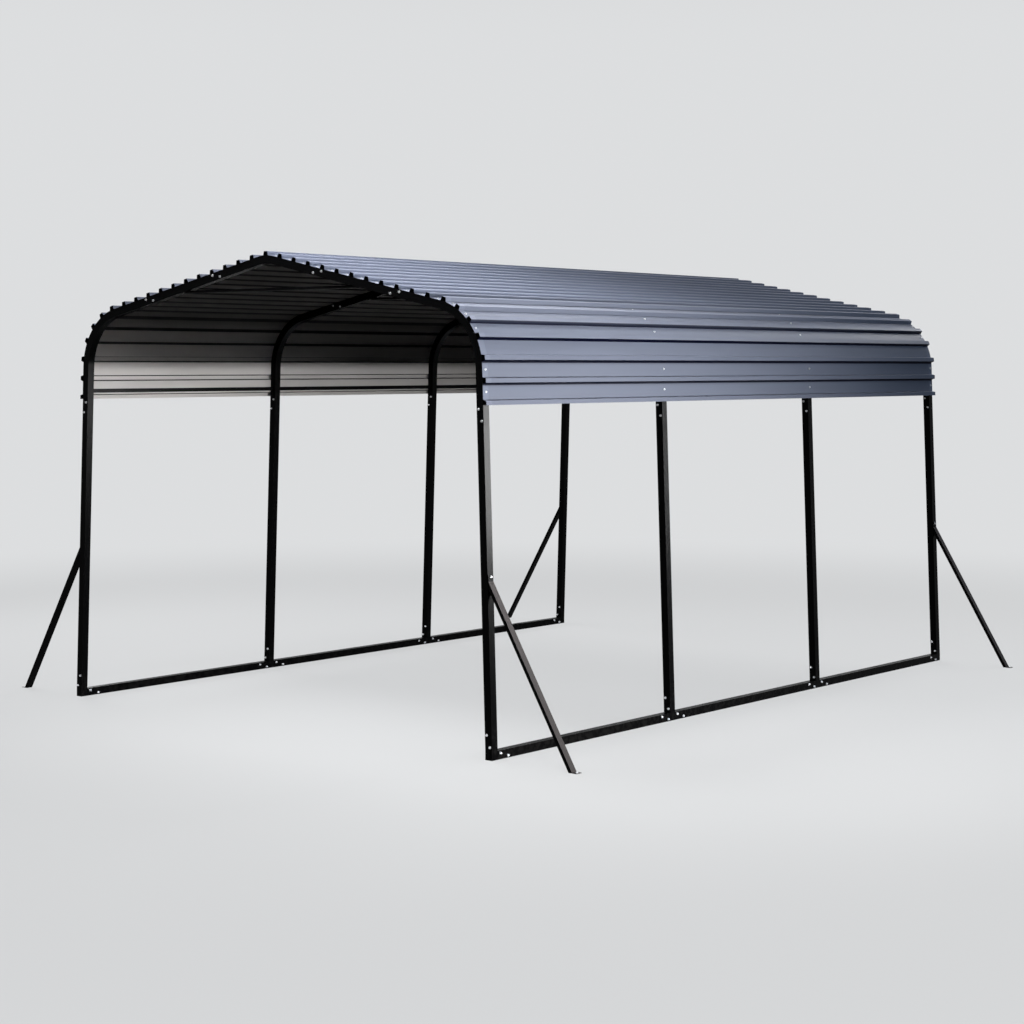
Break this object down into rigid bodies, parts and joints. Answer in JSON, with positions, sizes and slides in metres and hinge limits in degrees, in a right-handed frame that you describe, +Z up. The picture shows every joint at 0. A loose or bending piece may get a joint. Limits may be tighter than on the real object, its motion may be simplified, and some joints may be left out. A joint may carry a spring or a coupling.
{
  "type": "carport",
  "caption": "Open-sided metal carport with bent square-tube arch frames on base rails, corner outrigger braces and a ribbed sheet roof that wraps down over rounded eaves.",
  "frame": {"origin": "on the ground, in the middle of the plan, under the ridge", "axes": "+X to the right when seen from the open front, +Y from the front to the rear, +Z up"},
  "size_m": [5.551, 6.004, 3.3502],
  "materials": {
    "frame_black": "satin black powder coat",
    "sheet_slate": "satin slate blue-grey coil coating outside, pale grey backer coat inside",
    "bolt_zinc": "bright zinc plated"
  },
  "bodies": {
    "root": {"post_left_1": "frame_black", "eave_bend_left_1": "frame_black", "rafter_left_1": "frame_black", "post_left_2": "frame_black", "eave_bend_left_2": "frame_black", "rafter_left_2": "frame_black", "post_left_3": "frame_black", "eave_bend_left_3": "frame_black", "rafter_left_3": "frame_black", "post_left_4": "frame_black", "eave_bend_left_4": "frame_black", "rafter_left_4": "frame_black", "rail_left_1": "frame_black", "rail_left_2": "frame_black", "rail_left_3": "frame_black", "roof_sheet_upper_left": "sheet_slate", "roof_sheet_lower_left": "sheet_slate", "roof_sheet_eave_left": "sheet_slate", "post_right_1": "frame_black", "eave_bend_right_1": "frame_black", "rafter_right_1": "frame_black", "post_right_2": "frame_black", "eave_bend_right_2": "frame_black", "rafter_right_2": "frame_black", "post_right_3": "frame_black", "eave_bend_right_3": "frame_black", "rafter_right_3": "frame_black", "post_right_4": "frame_black", "eave_bend_right_4": "frame_black", "rafter_right_4": "frame_black", "rail_right_1": "frame_black", "rail_right_2": "frame_black", "rail_right_3": "frame_black", "roof_sheet_upper_right": "sheet_slate", "roof_sheet_lower_right": "sheet_slate", "roof_sheet_eave_right": "sheet_slate", "ridge_bend_1": "frame_black", "ridge_bend_2": "frame_black", "ridge_bend_3": "frame_black", "ridge_bend_4": "frame_black", "ridge_ties": "frame_black", "front_braces": "frame_black", "rear_braces": "frame_black", "corner_connectors": "frame_black", "tee_connectors": "frame_black", "side_bars": "frame_black"}
  },
  "joints": []
}
